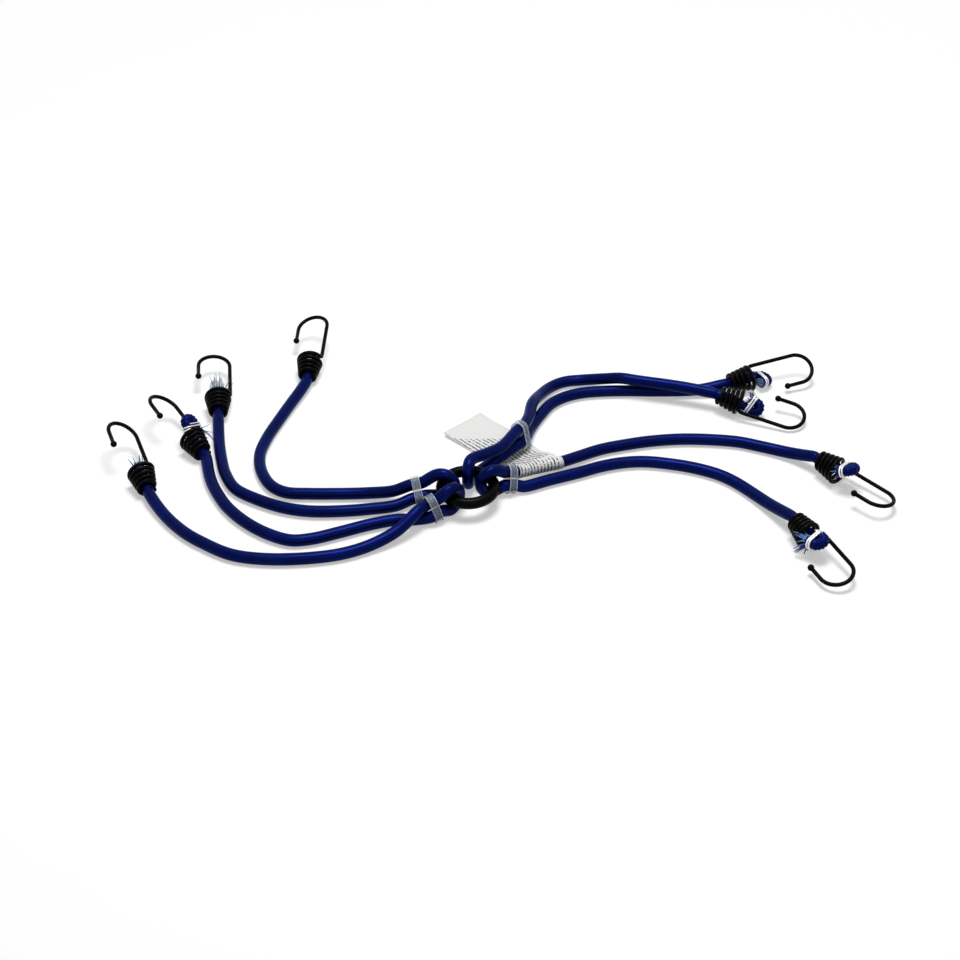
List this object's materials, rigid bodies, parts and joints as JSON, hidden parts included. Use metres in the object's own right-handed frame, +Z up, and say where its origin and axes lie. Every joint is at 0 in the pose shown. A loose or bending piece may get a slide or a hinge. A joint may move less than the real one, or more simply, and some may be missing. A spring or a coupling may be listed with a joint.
{
  "type": "spider bungee cord",
  "caption": "Elastic tie-down web: braided cords folded over a central ring, each arm ending in a coated wire hook, for holding loads on racks and trailers.",
  "frame": {"origin": "on the floor under the middle of the whole part's box", "axes": "+Z up from the floor, +X along the longest spread of the arms, +Y away from the viewer of the picture"},
  "size_m": [0.5206, 0.2854, 0.0261],
  "materials": {
    "ring": "satin black moulding",
    "cord": "royal blue braided sheath",
    "core": "off-white cut rubber",
    "band": "clear plastic strip",
    "hook": "glossy black coating on steel wire",
    "clip": "bright wire",
    "label": "plain white coated paper"
  },
  "bodies": {
    "center": {"center_ring": "ring", "label_flag": "label"},
    "cord_1": {"cord_bight_1": "cord", "cord_band_1": "band", "cord_arm_1": "cord", "cord_arm_2": "cord"},
    "cord_2": {"cord_bight_2": "cord", "cord_band_2": "band", "cord_arm_3": "cord", "cord_arm_4": "cord"},
    "cord_3": {"cord_bight_3": "cord", "cord_band_3": "band", "cord_arm_5": "cord", "cord_arm_6": "cord"},
    "cord_4": {"cord_bight_4": "cord", "cord_band_4": "band", "cord_arm_7": "cord", "cord_arm_8": "cord", "label_sleeve": "label"},
    "end_1": {"cord_end_1": "cord", "rubber_core_1": "core", "end_clip_1": "clip"},
    "hook_1": {"wire_hook_1": "hook"},
    "end_2": {"cord_end_2": "cord", "rubber_core_2": "core", "end_clip_2": "clip"},
    "hook_2": {"wire_hook_2": "hook"},
    "end_3": {"cord_end_3": "cord", "rubber_core_3": "core", "end_clip_3": "clip"},
    "hook_3": {"wire_hook_3": "hook"},
    "end_4": {"cord_end_4": "cord", "rubber_core_4": "core", "end_clip_4": "clip"},
    "hook_4": {"wire_hook_4": "hook"},
    "end_5": {"cord_end_5": "cord", "rubber_core_5": "core", "end_clip_5": "clip"},
    "hook_5": {"wire_hook_5": "hook"},
    "end_6": {"cord_end_6": "cord", "rubber_core_6": "core", "end_clip_6": "clip"},
    "hook_6": {"wire_hook_6": "hook"},
    "end_7": {"cord_end_7": "cord", "rubber_core_7": "core", "end_clip_7": "clip"},
    "hook_7": {"wire_hook_7": "hook"},
    "end_8": {"cord_end_8": "cord", "rubber_core_8": "core", "end_clip_8": "clip"},
    "hook_8": {"wire_hook_8": "hook"}
  },
  "joints": [
    {"name": "swing_1", "type": "hinge", "parent": "center", "child": "cord_1", "pos_m": [-0.03553, -0.049, 0.0124], "axis": [0.1736, 0.9848, 0], "range_deg": [-45, 75]},
    {"name": "swing_2", "type": "hinge", "parent": "center", "child": "cord_2", "pos_m": [-0.02964, -0.06516, 0.0124], "axis": [-0.766, 0.6428, 0], "range_deg": [-20, 60]},
    {"name": "swing_3", "type": "hinge", "parent": "center", "child": "cord_3", "pos_m": [-0.01889, -0.03479, 0.0124], "axis": [0.9998, 0.0175, 0], "range_deg": [0, 60]},
    {"name": "swing_4", "type": "hinge", "parent": "center", "child": "cord_4", "pos_m": [-0.00253, -0.04582, 0.0124], "axis": [0.3584, -0.9336, 0], "range_deg": [-45, 45], "deforming": ["label_flag"]},
    {"name": "stretch_1", "type": "slide", "parent": "cord_1", "child": "end_1", "axis": [0.0685, 0.9792, 0.1908], "range_m": [0, 0.15], "stiffness_N_per_m": 400, "deforming": ["cord_arm_1"]},
    {"name": "swivel_1", "type": "hinge", "parent": "end_1", "child": "hook_1", "pos_m": [-0.13329, 0.08022, 0.00654], "axis": [0.0685, 0.9792, 0.1908], "range_deg": [-180, 180]},
    {"name": "stretch_2", "type": "slide", "parent": "cord_1", "child": "end_2", "axis": [-0.1041, 0.9907, 0.0872], "range_m": [0, 0.15], "stiffness_N_per_m": 400, "deforming": ["cord_arm_2"]},
    {"name": "swivel_2", "type": "hinge", "parent": "end_2", "child": "hook_2", "pos_m": [-0.19139, 0.03552, 0.0081], "axis": [-0.1041, 0.9907, 0.0872], "range_deg": [-180, 180]},
    {"name": "stretch_3", "type": "slide", "parent": "cord_2", "child": "end_3", "axis": [-0.3822, 0.9004, 0.2079], "range_m": [0, 0.15], "stiffness_N_per_m": 400, "deforming": ["cord_arm_3"]},
    {"name": "swivel_3", "type": "hinge", "parent": "end_3", "child": "hook_3", "pos_m": [-0.22879, -0.04828, 0.00652], "axis": [-0.3822, 0.9004, 0.2079], "range_deg": [-150, 120]},
    {"name": "stretch_4", "type": "slide", "parent": "cord_2", "child": "end_4", "axis": [-0.563, 0.8041, 0.1908], "range_m": [0, 0.15], "stiffness_N_per_m": 400, "deforming": ["cord_arm_4"]},
    {"name": "swivel_4", "type": "hinge", "parent": "end_4", "child": "hook_4", "pos_m": [-0.19639, -0.00918, 0.00654], "axis": [-0.563, 0.8041, 0.1908], "range_deg": [0, 170]},
    {"name": "stretch_5", "type": "slide", "parent": "cord_3", "child": "end_5", "axis": [0.9203, -0.3718, -0.1219], "range_m": [0, 0.15], "stiffness_N_per_m": 400, "deforming": ["cord_arm_5"]},
    {"name": "swivel_5", "type": "hinge", "parent": "end_5", "child": "hook_5", "pos_m": [0.15421, 0.05252, 0.01205], "axis": [0.9203, -0.3718, -0.1219], "range_deg": [-110, 30]},
    {"name": "stretch_6", "type": "slide", "parent": "cord_3", "child": "end_6", "axis": [0.9527, 0.2913, 0.0872], "range_m": [0, 0.15], "stiffness_N_per_m": 400, "deforming": ["cord_arm_6"]},
    {"name": "swivel_6", "type": "hinge", "parent": "end_6", "child": "hook_6", "pos_m": [0.16421, 0.07212, 0.0081], "axis": [0.9527, 0.2913, 0.0872], "range_deg": [-30, 150]},
    {"name": "stretch_7", "type": "slide", "parent": "cord_4", "child": "end_7", "axis": [0.694, -0.7187, -0.0436], "range_m": [0, 0.15], "stiffness_N_per_m": 400, "deforming": ["cord_arm_7"]},
    {"name": "swivel_7", "type": "hinge", "parent": "end_7", "child": "hook_7", "pos_m": [0.21461, -0.01918, 0.01062], "axis": [0.694, -0.7187, -0.0436], "range_deg": [-150, 30]},
    {"name": "stretch_8", "type": "slide", "parent": "cord_4", "child": "end_8", "axis": [0.4376, -0.8971, -0.061], "range_m": [0, 0.15], "stiffness_N_per_m": 400, "deforming": ["cord_arm_8"]},
    {"name": "swivel_8", "type": "hinge", "parent": "end_8", "child": "hook_8", "pos_m": [0.19081, -0.08358, 0.01095], "axis": [0.4376, -0.8971, -0.061], "range_deg": [-170, 0]}
  ]
}
